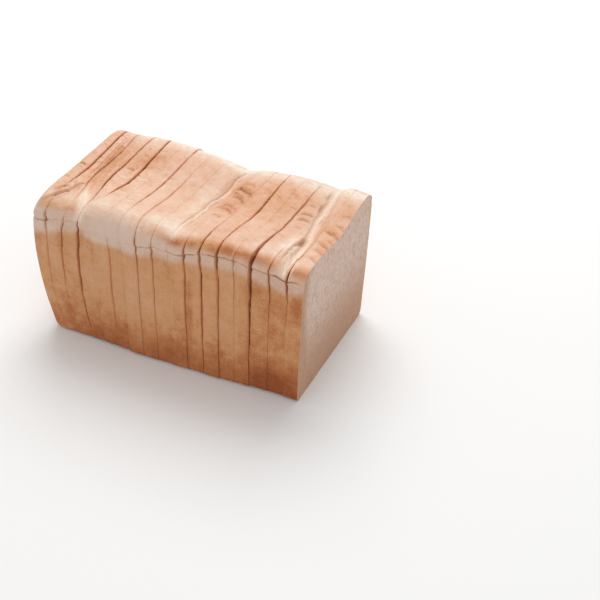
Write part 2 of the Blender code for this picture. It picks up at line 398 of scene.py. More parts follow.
# Station, then how strongly the torn band, its crack and the browned strip above it show
TORN_SHOW = (
    (0, 1.1, 0.6, 0), (1, 1, 0.6, 0), (2, 0.76, 0.4, 0.05), (3, 0.85, 0.15, 0), (4.5, 1, 0, 0),
    (6.4, 1, 0.1, 0), (7, 0.95, 0.85, 0.25), (8.2, 0.9, 1, 0.75), (9.2, 0.88, 1, 1),
    (10.2, 0.85, 1, 0.6), (11, 0.78, 1, 0.15), (12.3, 0.72, 0.9, 1.25), (14.6, 0.72, 1, 0.9),
    (15.2, 0.75, 1, 0.35), (16.2, 0.75, 1, 0.45), (17, 0.7, 0.8, 0.3),
)
# Where the near and far ends of the top's marks lie, in mm round the shoulders: from nothing to
# full at the near end, then from nothing to full at the far one
TOP_ENDS = (-61, -49, 67, 57)
SKIN_ENDS = (-66, -52, 66, 52)
CLEFT_ENDS = (-58, -46, 57, 44)
PALE_ENDS = (-69, -64, 66, 56)
BAND_STARTS = (-58, -48, 58, 48)
# Where the clefts run: Y in mm, and the station there
CLEFT_LINES = {
    1: ((-62, 3.10), (-46, 2.62), (-36, 2.25), (-27, 2.0), (0, 1.8), (30, 1.7), (62, 1.6)),
    2: ((-62, 9.25), (-38, 9.07), (4, 9.06), (18, 9.26), (35, 9.41), (48, 9.70), (62, 9.8)),
    3: ((-62, 15.9), (-46, 15.82), (-28, 15.67), (-7, 15.41), (12, 15.23), (27, 15.19), (62, 15.2)),
}
# Pockets of the third cleft: strength, then place and reach in mm across the cleft and along it
POCKETS = ((1, -2.4, 1.6, -16, 6.5), (0.8, -3.2, 1.2, 24.5, 4.5), (0.7, -3, 1.2, 41, 4.5))
# Folds in the skin of the top: station and Y in mm at each end, depth and reach in mm
FOLDS = (
    (9.75, 23, 10.95, 16, 1.05, 2), (9.95, 13.5, 10.75, 6.6, 0.85, 1.6), (9.6, 3, 10.8, -4.6, 0.8, 1.6),
    (9.55, -1.6, 10.7, -9, 0.75, 1.5), (9.6, -13.6, 10.35, -19.4, 0.55, 1.4),
    (10, 30.5, 10.8, 25.5, 0.6, 1.7), (9.75, 17.6, 10.2, 15.5, 0.35, 0.8), (10, 8.8, 10.5, 4, 0.3, 0.8),
    (14.12, 11.2, 14.86, 14.6, 0.55, 1.2), (14.15, 5.6, 14.86, 7.4, 0.55, 1.2),
    (14.3, 22.5, 14.7, 23, 0.35, 1), (14.3, -4.5, 14.75, -3, 0.35, 1),
    (15.88, 1.4, 17.05, -5.6, 0.85, 1.6), (15.95, -12.4, 17.05, -24.6, 0.75, 1.5),
    (16.5, -11, 17.05, -14.8, 0.7, 1.2), (16.1, -25, 17.05, -32.5, 0.65, 1.4),
    (16.3, -37.5, 17.05, -44, 0.6, 1.4), (16.3, 9.6, 17, 5.2, 0.5, 1.5),
    (15.22, -52, 15.32, -12, 0.85, 1), (16.5, 21, 17, 17.6, 0.4, 1.6),
    (13.38, -17, 13.86, -17.4, 0.35, 0.8), (13.36, 15.2, 13.76, 15.8, 0.28, 0.7),
    (2.9, 7.6, 3.5, 5.2, 0.45, 0.9), (3, -6, 3.45, -8.5, 0.25, 0.8), (3.2, 26, 3.6, 24, 0.25, 0.8),
    (0.6, -43.5, 1.02, -33.5, 0.85, 0.9), (0.86, -48.4, 1.46, -39.6, 1.25, 1),
    (1.38, -41.6, 1.66, -26, 1, 0.9), (0.42, -55.5, 0.98, -46, 0.85, 1),
    (1.1, 42, 1.34, -14, 0.5, 0.55), (1.7, -38, 1.84, -20, 0.4, 0.6), (0.95, -24, 1.3, -34, 0.35, 0.8),
    (0.2, -2, 0.62, -4.4, 0.55, 0.8), (0.25, 14, 0.5, 12, 0.25, 0.7),
    (0.15, -22, 0.55, -24.5, 0.3, 0.8), (3.3, -2, 3.62, 12, 0.4, 0.7),
    (12.3, -28, 12.7, -31, 0.25, 0.8), (11.2, -6, 11.6, -8.5, 0.22, 0.7),
    (12.9, 47.5, 13.8, 46.5, 0.28, 0.7), (13.9, 45.2, 14.7, 46.4, 0.2, 0.7),
    (1.6, -60.5, 2.5, -55.5, 0.35, 0.9),
)
# Folds in the skin of the near wall: station and Z in mm at each end, depth and reach in mm
WALL_FOLDS = (
    (0.2, 93.5, 0.95, 87, 0.45, 0.9), (1.15, 84.5, 2.05, 79, 0.4, 0.8),
    (2.2, 78, 2.98, 74.5, 0.42, 0.8), (0.3, 76, 0.8, 72, 0.22, 0.9), (3.8, 88.5, 4.12, 84.5, 0.5, 0.6),
    (15.3, 74, 16.8, 84, 0.14, 1), (15.2, 66, 16.6, 75, 0.14, 1), (14.3, 70, 15.2, 76, 0.12, 1),
)
# Browner and paler patches of the top: station, round in mm, reach in stations and in mm, change
TOP_PATCHES = (
    (3.6, 16, 0.75, 11, 0.25), (4.35, 25, 0.7, 9, 0.27), (2.6, 22, 0.8, 18, 0.1),
    (0.9, 6, 1.1, 34, 0.08), (1.9, 12, 0.6, 26, 0.2), (1, -44, 0.9, 9, 0.1), (1.2, -60, 1.5, 8, -0.12),
    (10.2, 8, 0.65, 20, 0.19), (9.9, 24, 0.6, 9, 0.15), (12.7, 26, 1.1, 15, 0.17),
    (11.5, 10, 0.9, 26, 0.12), (12.9, 6, 0.6, 22, 0.09), (13.9, 8, 0.9, 24, 0.04),
    (14.4, 26, 0.6, 9, 0.12), (16.4, 12, 0.6, 24, 0.11), (16.8, -18, 0.5, 16, 0.14),
    (16.6, 30, 0.5, 10, 0.1), (11.6, -28, 1.6, 16, 0.02), (6.2, -53, 2.3, 17, -0.16),
    (8.5, -48, 1.1, 9, -0.18), (3.7, -48, 1, 14, -0.09), (16.5, -57, 0.35, 7, 0.16),
    (14.95, -26, 0.35, 14, -0.1), (7.6, 53, 3.4, 10, -0.33), (4.8, 52, 1.4, 8, -0.16),
    (2.3, 50, 0.8, 10, -0.26), (12, 54, 3.4, 10, -0.36), (15.2, 50, 1.5, 12, -0.34),
    (8.6, 2, 0.55, 45, -0.17), (15, -32, 0.45, 12, -0.24), (15.15, 6, 0.3, 44, -0.16),
    (14.2, -44, 0.7, 7, -0.06), (16.4, -46, 0.6, 7, -0.08), (17, 48, 0.6, 14, -0.28),
    (5.4, 4, 1.2, 18, -0.03),
)
# Browner and paler patches of the walls: station, Z in mm, reach in stations and in mm, change
WALL_PATCHES = (
    (4.2, 6, 1.5, 24, 0.03), (5.4, 14, 0.5, 15, 0.07), (6.9, 58, 0.8, 24, -0.07),
    (8.3, 52, 0.9, 18, -0.06), (12, 30, 0.5, 15, 0.07), (14.8, 12, 0.8, 15, 0.13),
    (16.2, 18, 0.9, 12, 0.07), (10.25, 62, 0.24, 26, 0.15), (16.6, 84, 0.45, 13, 0.1),
    (3.4, 94, 0.35, 8, 0.09), (0.5, 86, 0.35, 9, 0.08), (1.9, 88, 0.3, 7, 0.08),
    (1.8, 22, 0.4, 12, 0.08), (0.8, 14, 0.5, 10, 0.09), (0.3, 100, 0.7, 9, -0.12), (9, 16, 2, 12, 0.05),
    (11.5, 58, 0.7, 20, -0.03), (13, 50, 0.5, 22, -0.04), (15.4, 45, 0.6, 14, -0.03),
    (1.2, 55, 0.6, 24, -0.02), (1.4, 84, 0.8, 14, -0.06), (8, 84, 1, 8, 0.02),
)


def within(ends, around, lower=0):
    """1 between a near and a far end, with smooth steps; lower shifts the near one."""
    return step(*ends[:2], around + lower) * step(*ends[2:], around)


def table(rows, station, column):
    """A column of a table of rows by station, joined by straight lines."""
    return np.interp(station, [row[0] for row in rows], [row[column] for row in rows])


def height_over_crease(station, y, z):
    """How far a point of a side lies above the crease of its section, in millimetres."""
    side = np.where(y < 0.0, -1.0, 1.0)
    radius = np.where(y < 0.0, shoulder_radius(station, -1.0), SHOULDER_RADIUS)
    top = shoulder_height(station, side * (WIDTH / 2 - radius))
    return (z - (top - crease_drop(station))) / MM


def round_the_top(course, y):
    """Y in millimetres, going on around the shoulders as the length of their arcs."""
    arc = held((1.5 - np.minimum(course, 5 - course)) / SHOULDER_COURSE) * SHOULDER_ARC
    inner = (WIDTH / 2 - SHOULDER_RADIUS) / MM
    return np.where(arc > 0.0, np.where(y < 0.0, -inner - arc, inner + arc), y / MM)


def patches(rows, station, other):
    """The sum of soft patches, each a bell both ways."""
    total = 0.0
    for s, place, reach_s, reach, change in rows:
        total += change * bell(station, s, reach_s) * bell(other, place, reach)
    return total


def fold(station, other, row):
    """One fold: a valley between two ends, bent a little, with a swell on both sides of it.

    Returns its relief, the painted shade along its valley, and the painted shade on the slope of its far
    swell, which faces away from the key light.
    """
    s0, o0, s1, o1, deep, reach = row
    x = station * PITCH / MM
    x0, x1 = s0 * PITCH / MM, s1 * PITCH / MM
    length = math.hypot(x1 - x0, o1 - o0)
    ux, uo = (x1 - x0) / length, (o1 - o0) / length
    along = ((x - x0) * ux + (other - o0) * uo) / length
    off = (other - o0) * ux - (x - x0) * uo - 0.8 * along * (1 - along) * reach * 4.0
    off += 0.55 * reach * noise(x / 2.6, other / 2.6, 0, 140)
    window = step(-0.18, 0.3, along) * step(1.15, 0.85, along)
    swell = (0.85 * bell(off, 2.4 * reach, 1.7 * reach)
             + 0.45 * bell(off, -2.2 * reach, 1.5 * reach))
    strong = window * min(1.0, deep / 0.7)
    return (deep * window * (swell - 1.05 * bell(off, 0, 0.8 * reach)),
            strong * (0.55 + 0.45 * along) * bell(off, 0.1 * reach, 0.75 * reach),
            strong * bell(off, 1.3 * reach, 1.5 * reach))


def folds(rows, station, other):
    """Relief, painted valley shade and painted slope shade of all the folds that reach these stations."""
    relief, crease_shade, slope_shade = np.zeros((3,) + station.shape)
    low, high = station.min() - 0.5, station.max() + 0.5
    for row in rows:
        if row[2] < low or row[0] > high:
            continue
        depth, line, shaded = fold(station, other, row)
        relief += depth
        crease_shade = np.maximum(crease_shade, line)
        slope_shade = np.maximum(slope_shade, shaded)
    return relief, crease_shade, slope_shade


CREASE_SEED = 77
CREASE_COUNT = 330
CREASES_ALL_OVER = 200     # the rest lie on the first slices, where the skin is most wrinkled
# Lowest and highest station, then Y, length, depth and reach in mm
ALL_OVER, ON_FIRST = ((0.2, 16.8), (-42.0, 46.0)), ((0.15, 4.7), (-34.0, 44.0))
FINE_LENGTH, FINE_DEPTH, FINE_REACH = (1.5, 5.5), (0.08, 0.28), (0.4, 0.8)
FINE_TURN = (-0.35, 0.5)   # middle and spread of the turn away from straight across, in radians


def small_creases():
    """Short shallow creases scattered over the top, mostly across the slices."""
    stray = random.Random(CREASE_SEED)
    rows = []
    for k in range(CREASE_COUNT):
        s, y = (stray.uniform(*ends) for ends in ALL_OVER)
        if k >= CREASES_ALL_OVER:
            s, y = (stray.uniform(*ends) for ends in ON_FIRST)
        turn = stray.gauss(*FINE_TURN)
        length = stray.uniform(*FINE_LENGTH)
        rows.append((s, y, s + length * math.cos(turn) * MM / PITCH, y + length * math.sin(turn),
                     stray.uniform(*FINE_DEPTH), stray.uniform(*FINE_REACH)))
    return tuple(rows)


SMALL_CREASES = small_creases()


def cleft_offset(number, station, y):
    """Distance in millimetres along X from a cleft's wavering line, positive towards the face."""
    line = np.interp(y / MM, [row[0] for row in CLEFT_LINES[number]],
                     [row[1] for row in CLEFT_LINES[number]])
    waver = 0.05 * cloud(0, y, 0, 12 * MM, 7 + number)
    return (station - line - waver) * PITCH / MM


def clefts(station, y, around):
    """Relief, a pale mask, and painted shade in the cracks, valleys and pockets of the three clefts of
    the top.
    """
    yy = y / MM
    first, second, third = (cleft_offset(number, station, y) for number in (1, 2, 3))
    lumpy = 1.0 + 0.5 * noise(yy / 5, 0, 0, 150)

    # the first: a shallow tear that opens towards the near shoulder
    opening = step(-12, -40, yy)
    relief = opening * (0.3 * bell(first, 1.6, 1.2) - 0.6 * bell(first, -0.2, 0.9))
    streak = 0.75 + 0.4 * noise(first / 0.8, around / 9, 0, 151)
    pale = 1.05 * step(-24, -40, yy) * bell(first, 0.9, 4.1) * (0.4 + 0.6 * streak)

    # the second: a thin crack, a low pale ridge, and a hollow before the next slice's swell
    relief = relief - 0.6 * bell(second, -1.2, 0.5) + 0.42 * lumpy * bell(second, 0.1, 0.85)
    relief = relief - 0.22 * bell(second, 2.4, 1.2) + 0.42 * bell(second, 7.5, 4.2)
    pale += 0.62 * bell(second, 0, 0.95) * lumpy * step(-57, -47, around)
    end = step(-30, -50, yy)
    at_end = end * bell(second, -2.6, 4.2) * step(-61, -54, around)
    pale += 0.9 * at_end * (0.4 + 0.6 * streak)

    # the third: a ridge on the face's side, a valley with three deep pockets, and a rolled flap
    relief += 0.75 * lumpy * bell(third, 0.9, 1.1) - 0.8 * bell(third, -1.7, 1.2)
    pocket = sum(strong * bell(third, off, reach) * bell(yy, at, long)
                 for strong, off, reach, at, long in POCKETS)
    relief -= 2.2 * pocket
    relief += 1.2 * bell(third, -7, 2.6) * bell(yy, -30, 15)
    pale += 0.7 * bell(third, 0.9, 1.5) * (0.75 + 0.25 * lumpy) + 0.14 * bell(third, -2.2, 2.2)
    spread = held((-24.0 - around) / 34.0)
    tear = bell(third, -1.2 - 1.8 * spread, 0.8 + 3.3 * spread) * step(0, 0.16, spread)
    tear *= step(-69, -60, around)
    pale += 0.95 * tear * streak
    relief -= 0.55 * tear * (0.6 + 0.4 * streak)
    # painted shade in the pockets, in the second cleft's crack and in the third cleft's valley
    cleft_shade = (0.6 * pocket + (0.12 + 0.26 * step(-10, 20, yy)) * bell(second, -1.2, 0.6)
            + 0.22 * bell(third, -1.7, 0.9))
    ends = within(CLEFT_ENDS, around)
    return relief * (0.25 + 0.75 * ends), pale, cleft_shade * ends


def torn_band(place, y, z, over, around):
    """Relief of the torn band and its crack, and the masks of the band, the crack and the strip."""
    near = np.where(y < 0.0, 1.0, 0.0)
    x = place * PITCH
    seen = np.where(near > 0.5, place, np.clip(17.0 - 0.94 * place, 7.0, 16.8))
    crack_at, top_at, foot_at = (table(TORN_BAND, seen, k) for k in (1, 2, 3))
    band_shows, crack_shows, strip_shows = (table(TORN_SHOW, seen, k) for k in (1, 2, 3))
    rag = (0.5 * noise(x / (5 * MM), 0.5, near * 3, 21)
           + 0.28 * noise(x / (1.6 * MM), 0.5, near, 22))
    crack_off = over - crack_at - rag
    wide = 0.46 + 0.14 * noise(x / (2.4 * MM), 0, near, 24)
    broken = 0.35 + 0.65 * step(-0.6, -0.1, noise(x / (4.2 * MM), 3, near, 28))
    crack = 1.15 * bell(crack_off, 0, wide) * crack_shows * broken
    edge = 1.5 * cloud(x, 0, near, 8 * MM, 25, 2)
    shreds = 0.8 * noise(x / (1.1 * MM), over / 14, near, 29)
    low = step(-4.4, 3.4, over - foot_at + 0.6 * edge + shreds)
    high = step(3.6, -3.2, over - top_at + 0.5 * edge)
    band = low * high * band_shows
    strip = over - top_at
    fading = bell(np.maximum(strip - 2.4, 0.0), 0, 4.6)
    strip = step(-2, 2.4, strip) * fading * strip_shows
    relief = -1.05 * crack + 0.22 * bell(crack_off, 1.1, 0.8) * crack_shows
    relief += band * (0.07 * shreds + 0.06 * cloud(x, y, z, 2.2 * MM, 27, 2))
    return relief, band, crack, strip


def crust_relief(place, course, y, z, tone):
    """How far the crust stands off its smooth section in millimetres, and the masks that colour it.

    The relief is the sum of broad unevenness, fine grain, the clefts, the folds and the torn band.
    """
    x = place * PITCH
    over = height_over_crease(place, y, z)
    around = round_the_top(course, y)
    lower = 8 * step(2.6, 3.8, place) * step(9.2, 7.6, place) + 3 * step(2.8, 1.8, place)
    on_top = within(TOP_ENDS, around, lower)
    skin = within(SKIN_ENDS, around)
    relief = 0.2 * cloud(x, y, z, 26 * MM, 1, 2)
    relief += (0.06 + 0.06 * on_top) * cloud(x, y, z, 3.2 * MM, 5)
    relief += 0.16 * on_top * cloud(x, y, z, 9 * MM, 9, 2)

    split, pale, cleft_shade = clefts(place, y, around)
    relief += skin * split
    fold_depth, fold_shade, fold_slope_shade = folds(FOLDS, place, y / MM)
    crease_depth, small_crease_shade, _ = folds(SMALL_CREASES, place, y / MM)
    relief += skin * (fold_depth + crease_depth)
    near_wall = np.where(y < 0.0, 1.0, 0.0) * (1 - skin)
    wall_depth, wall_fold_shade, _ = folds(WALL_FOLDS, place, z / MM)
    relief += near_wall * wall_depth
    tear_depth, band, crack, strip = torn_band(place, y, z, over, around)
    beside = 1 - within(BAND_STARTS, around)
    relief += beside * tear_depth

    bake_and_shade = browning(place, x, y, z, around, on_top) + tone
    bake_and_shade += beside * (0.17 * strip * (1.0 + 0.25 * cloud(x, y, z, 7 * MM, 58, 2)))
    # painted shade on each fold's far swell, on the slope that faces away from the key light, added to
    # the bake
    bake_and_shade += 0.1 * skin * fold_slope_shade
    # painted shade in the valleys of the folds and small creases, in the clefts' cracks and pockets, in
    # the torn band's crack and in the near wall's folds
    crease_shade = skin * (0.62 * fold_shade + small_crease_shade + cleft_shade)
    crease_shade += beside * 0.95 * crack + 0.4 * near_wall * wall_fold_shade
    return relief, {
        "bake_and_shade": held(bake_and_shade),
        "pale": held(pale * step(*PALE_ENDS[:2], around) * step(*PALE_ENDS[2:], around)),
        "torn": held(band * beside),
        "crease_shade": held(crease_shade),
        "on_top": on_top,
    }


def browning(place, x, y, z, around, on_top):
    """How far the crust is baked, from 0, white, to 1, dark brown.

    The top is a light peach with patches, and the walls go from golden under the shoulder to
    reddish brown at the foot.
    """
    blotch = cloud(x, y, z, 13 * MM, 51)
    small = cloud(x, y, z, 3.2 * MM, 55, 2)
    top = 0.395 + 0.055 * blotch + 0.035 * small + patches(TOP_PATCHES, place, around)
    top += 0.07 * bell(around, -56, 11) * noise(x / (2.6 * MM), around / 15, 0, 63)
    foot = held(1 - z / (44 * MM))
    darkest = (0.85 + 0.15 * bell(place, 5.5, 2.4) + 0.12 * bell(place, 15.5, 2.2)
               - 0.52 * step(3.2, 0.8, place))
    level = cloud(x, 0, z, 6 * MM, 57, 2)
    grain = noise(x / (9 * MM), y / (9 * MM), z / (1.5 * MM) + 0.8 * level, 59)
    wall = 0.635 + 0.235 * foot ** 1.4 * darkest + 0.035 * blotch + 0.02 * small + 0.012 * grain
    wall += 0.02 * noise(x / (2 * MM), z / (30 * MM), 0, 64)
    wall += 0.04 * step(75 * MM, 20 * MM, z) + 0.085 * step(12.6, 14.5, place)
    wall += patches(WALL_PATCHES, place, z / MM)
    return top * on_top + wall * (1 - on_top)


# ---- meshes

def add_object(name, data):
    """A new object in the scene."""
    made = bpy.data.objects.new(name, data)
    bpy.context.scene.collection.objects.link(made)
    return made


def fine_rows(length):
    """Distances across a slice's thickness: close rows at both rims and even ones between."""
    rim = np.array(RIM_ROWS) * MM
    steps = max(2, round((length - 2 * rim[-1]) / ROW_STEP))
    inside = np.linspace(rim[-1], length - rim[-1], steps + 1)
    return np.concatenate([rim[:-1], inside, length - rim[-2::-1]])


def rim_rounding(off, gap):
    """How far the crust is drawn in at a cut edge: a quarter round, larger where the cut gapes."""
    radius = RIM_ROUND * (0.2 + 2.65 * np.clip(2 * gap / MM, 0.0, 0.9))
    return radius * (1 - np.sqrt(1 - (1 - held(off / radius)) ** 2))


def rim_gap_shade(off, gap):
    """Painted shade and warm bounced light on the crust beside a gaping cut, stronger where it gapes
    wider.
    """
    return held(2 * gap / (0.45 * MM) - 0.12) * bell(off, 0, 0.85 * MM)


def surface_normals(points):
    """Outward normals of a grid of rows along X and a closed ring around it."""
    around = np.roll(points, -1, axis=1) - np.roll(points, 1, axis=1)
    along = np.gradient(points, axis=0)
    normal = np.cross(along, around)
    return normal / np.maximum(np.linalg.norm(normal, axis=2, keepdims=True), 1e-12)


def slice_shift(index, stray):
    """How far a slice is moved across the row."""
    return stray - ROW_BOW * math.sin(math.pi * (index - 0.5) / SLICE_COUNT) ** 2


def slice_crust(index, stray):
    """A slice's crust before relief: points, place, course, the drawing in of its rims, and the shade
    painted beside them.
    """
    rows = fine_rows(PITCH - CUT)
    share = (rows / rows[-1])[:, None]
    station = index - 1 + share
    y, z, course = section(station, FACE_DENSITY if index == SLICE_COUNT else 1.0)
    y = y + slice_shift(index, stray)
    low_gap = cut_gap(index - 1, course, y, z)
    high_gap = cut_gap(index, course, y, z)
    low = cut_surface(index - 1, y, z) + low_gap
    high = cut_surface(index, y, z) - high_gap
    x = low + (high - low) * share
    even = even_cut(index - 1, z) * (1 - share) + even_cut(index, z) * share
    off = rows[:, None]
    drawn_in = rim_rounding(off, low_gap) + rim_rounding(rows[-1] - off, high_gap)
    cut_edge_shade = rim_gap_shade(off, low_gap) + rim_gap_shade(rows[-1] - off, high_gap)
    return np.stack([x, y, z], axis=2), station + (x - even) / PITCH, course, drawn_in, cut_edge_shade


def heel_crust(stray):
    """The same for the heel: an arc that rounds its end, then on to the first cut."""
    steps = round(HEEL_RADIUS * math.pi / 2 / (ROW_STEP * 1.15))
    back = HEEL_RADIUS * (1 - np.cos(np.linspace(0.0, math.pi / 2, steps + 1)))
    rest = fine_rows(2 * (PITCH - HEEL_RADIUS))
    rest = rest[rest > (PITCH - HEEL_RADIUS)] - (PITCH - HEEL_RADIUS)
    offset = np.concatenate([back, HEEL_RADIUS + rest])[:, None]
    station = np.minimum(offset / PITCH, 1.0)
    y, z, course = section(station, HEEL_DENSITY)
    centre_y = y.mean(axis=1, keepdims=True)
    centre_z = z.max(axis=1, keepdims=True) / 2
    arc = held(1 - offset / HEEL_RADIUS)
    scale = 1 - HEEL_RADIUS * (1 - np.sqrt(1 - arc ** 2)) / (WIDTH / 2)
    y = centre_y + (y - centre_y) * scale + slice_shift(1, stray)
    z = centre_z + (z - centre_z) * scale
    gap = cut_gap(1, course, y, z)
    low = even_cut(0, z)
    high = cut_surface(1, y, z) - gap
    beyond = held((offset - HEEL_RADIUS) / (PITCH - HEEL_RADIUS))
    x = low + np.minimum(offset, HEEL_RADIUS) + (high - low - HEEL_RADIUS) * beyond
    even = low + (even_cut(1, z) - low) * np.minimum(offset / PITCH, 1.0)
    drawn_in = rim_rounding(PITCH - offset, gap)
    return (np.stack([x, y, z], axis=2), held(station + (x - even) / PITCH), course,
            drawn_in, rim_gap_shade(PITCH - offset, gap))


def ring_corners(density):
    """Places on the ring of the four corners of an end patch, in the middles of the arcs."""
    n_foot, n_wall, n_crease, n_shoulder, n_top, n_base = counts(density)
    low = n_base + n_foot // 2
    high = n_base + n_foot + n_wall + n_crease + n_shoulder // 2
    size = 2 * (n_base + n_foot + n_wall + n_crease + n_shoulder + n_top - 1)
    return low, high, size - high, size - low, size


def end_patch(ring, density):
    """A Coons patch over a closed ring: sides blended two ways, less the blend of the corners.

    Returns the ring's places along the patch's border and the patch's points, in rows that
    go up and columns that go from the near side to the far side.
    """
    low, high, far_high, far_low, size = ring_corners(density)
    near = np.arange(low, high + 1)
    far = np.arange(far_low, far_high - 1, -1)
    top = np.arange(high, far_high + 1)
    base = np.arange(low, far_low - size - 1, -1) % size
    b = np.linspace(0.0, 1.0, len(near))[:, None, None]
    a = np.linspace(0.0, 1.0, len(top))[None, :, None]
    sides = (1 - a) * ring[near][:, None] + a * ring[far][:, None]
    ends = (1 - b) * ring[base][None, :] + b * ring[top][None, :]
    corners = ((1 - b) * ((1 - a) * ring[low] + a * ring[far_low % size])
               + b * ((1 - a) * ring[high] + a * ring[far_high]))
    return (near, far, top, base), sides + ends - corners, a[..., 0], b[..., 0]


def crumb_relief(y, z):
    """Depth of crumb in millimetres and its pores: noise drawn out upwards, cut off at a level."""
    small = noise(y / (0.95 * MM), z / (1.7 * MM), 0.5, 101)
    large = noise(y / (2.1 * MM), z / (3.6 * MM), 0.5, 102)
    tiny = noise(y / (0.6 * MM), z / (0.8 * MM), 0.5, 103)
    swirl = cloud(0, y, z, 16 * MM, 104, 2)
    pore = 0.75 * step(0.1, 0.8, small + 0.35 * tiny) + 0.6 * step(0.35, 0.9, large + 0.25 * tiny)
    pore = held(pore)
    return -0.28 * pore + 0.09 * tiny + 0.16 * swirl - 0.08, pore


def grid_faces(index):
    """Quads of a grid of vertex numbers."""
    corners = [index[:-1, :-1], index[:-1, 1:], index[1:, 1:], index[1:, :-1]]
    return np.stack(corners, axis=-1).reshape(-1, 4)


MASKS = ("bake_and_shade", "pale", "torn", "crease_shade", "edge", "on_top", "pore", "rim", "inside")
CRUST, CRUMB = 0, 1        # a face's place among its mesh's materials


class Piece:
    """Vertices, faces and masks of one slice as they are put together."""

    def __init__(self):
        self.points = []
        self.count = 0
        self.faces = []
        self.kinds = []
        self.masks = {name: [] for name in MASKS}

    def add_points(self, points, masks):
        """Adds points with their masks, and returns their numbers in the same arrangement."""
        shape = points.shape[:-1]
        number = np.arange(self.count, self.count + int(np.prod(shape))).reshape(shape)
        self.points.append(points.reshape(-1, 3))
        self.count += number.size
        for name in MASKS:
            value = np.broadcast_to(masks.get(name, 0.0), shape)
            self.masks[name].append(value.reshape(-1))
        return number

    def add_faces(self, faces, kind):
        self.faces.append(faces)
        self.kinds.append(np.full(len(faces), kind))


def add_hidden_end(piece, ring_number, ring, number, side, course, bake_and_shade):
    """Closes an end that lies in a cut: rings drawn in to the middle, on the cut's surface.

    side is 1 at a slice's open side and -1 at its heel side.
    """
    middle = np.array([0.0, ring[:, 1].mean(), ring[:, 2].max() / 2])
    last = ring_number
    for scale, hidden_gap_shade in HIDDEN_RINGS:
        inner = middle + (ring - middle) * scale
        y, z = inner[:, 1], inner[:, 2]
        gap = cut_gap(number, course, y, z) * scale + 0.5 * CUT * (1 - scale)
        inner[:, 0] = cut_surface(number, y, z) - side * gap
        # the inside mask paints the cut's shade and warm bounced light onto this hidden crumb, darker
        # where the crust beside it is browner
        masks = {"inside": hidden_gap_shade, "bake_and_shade": bake_and_shade, "pore": 0.3 + 0.3 * noise(0, y / 0.002, z / 0.003, 5)}
        new = piece.add_points(inner, masks)
        quads = np.stack([last, np.roll(last, -1), np.roll(new, -1), new], axis=-1)
        piece.add_faces(quads if side < 0 else quads[:, ::-1], CRUMB)
        last = new
    x = cut_surface(number, middle[1:2], middle[2:3])[0] - side * 0.5 * CUT
    tip = piece.add_points(np.array([[x, middle[1], middle[2]]]), {"pore": 0.3})
    fan = np.stack([last, np.roll(last, -1), np.full(len(last), tip[0])], axis=-1)
    piece.add_faces(fan if side < 0 else fan[:, ::-1], CRUMB)


def add_patch(piece, ring_number, border, points, masks, side, kind):
    """Adds the inner points of an end patch, and joins them to the ring around it."""
    near, far, top, base = border
    index = np.zeros(points.shape[:2], dtype=np.int64)
    inner = (slice(1, -1), slice(1, -1))
    index[inner] = piece.add_points(points[inner], {name: v[inner] for name, v in masks.items()})
    index[:, 0] = ring_number[near]
    index[:, -1] = ring_number[far]
    index[0, :] = ring_number[base]
    index[-1, :] = ring_number[top]
    faces = grid_faces(index)
    piece.add_faces(faces if side > 0 else faces[:, ::-1], kind)


def add_open_face(piece, ring_number, ring):
    """The open cut face: a patch of crumb inside a thin crust rim, sunk a little behind it."""
    border, points, a, b = end_patch(ring, FACE_DENSITY)
    y, z = points[..., 1], points[..., 2]
    edge = np.minimum(np.minimum(a, 1 - a) * WIDTH, np.minimum(b, 1 - b) * ring[:, 2].max()) / MM
    ragged = edge + 0.45 * noise(y / (2.2 * MM), z / (2.2 * MM), 0, 111)
    rim = 0.6 * step(3.4, 0.4, ragged) * (0.3 + 0.7 * step(0.5, 0.93, a))
    depth, pore = crumb_relief(y, z)
    inside = step(0.3, 2.4, edge)
    points[..., 0] += (depth * inside - FACE_SUNK * inside) * MM
    from_near = a * WIDTH / MM
    # painted shade and warm bounced light, low on the face and at its near edge, carried by the bake mask
    crumb_shade = 1.05 * step(84 * MM, 10 * MM, z) + 1.1 * step(18, 1, from_near) * step(0, 30 * MM, z)
    masks = {"pore": pore * (1 - rim), "rim": rim, "bake_and_shade": held(crumb_shade)}
    add_patch(piece, ring_number, border, points, masks, 1, CRUMB)


def add_heel_end(piece, ring_number, ring):
    """The heel's own end: a domed patch that is crust like the walls."""
    border, points, a, b = end_patch(ring, HEEL_DENSITY)
    y, z = points[..., 1], points[..., 2]
    bulge = (1 - (2 * a - 1.0) ** 2) * (1 - (2 * b - 1.0) ** 2)
    relief = 0.22 * cloud(0, y, z, 26 * MM, 1, 2) + 0.05 * cloud(0, y, z, 3.4 * MM, 5) - 0.35
    points[..., 0] -= HEEL_DOME * bulge + relief * MM * step(0, 0.08, bulge)
    add_patch(piece, ring_number, border, points, {"bake_and_shade": end_browning(y, z)}, -1, CRUST)


def end_browning(y, z):
    """The heel's end is baked as the walls are, paler at its top and darker at its foot."""
    foot = held(1 - z / (42 * MM))
    bake_and_shade = 0.66 + 0.18 * foot ** 1.5 + 0.045 * cloud(0, y, z, 13 * MM, 51)
    bake_and_shade += 0.02 * cloud(0, y, z, 3.2 * MM, 55, 2)
    return bake_and_shade - 0.16 * step(84 * MM, 112 * MM, z)


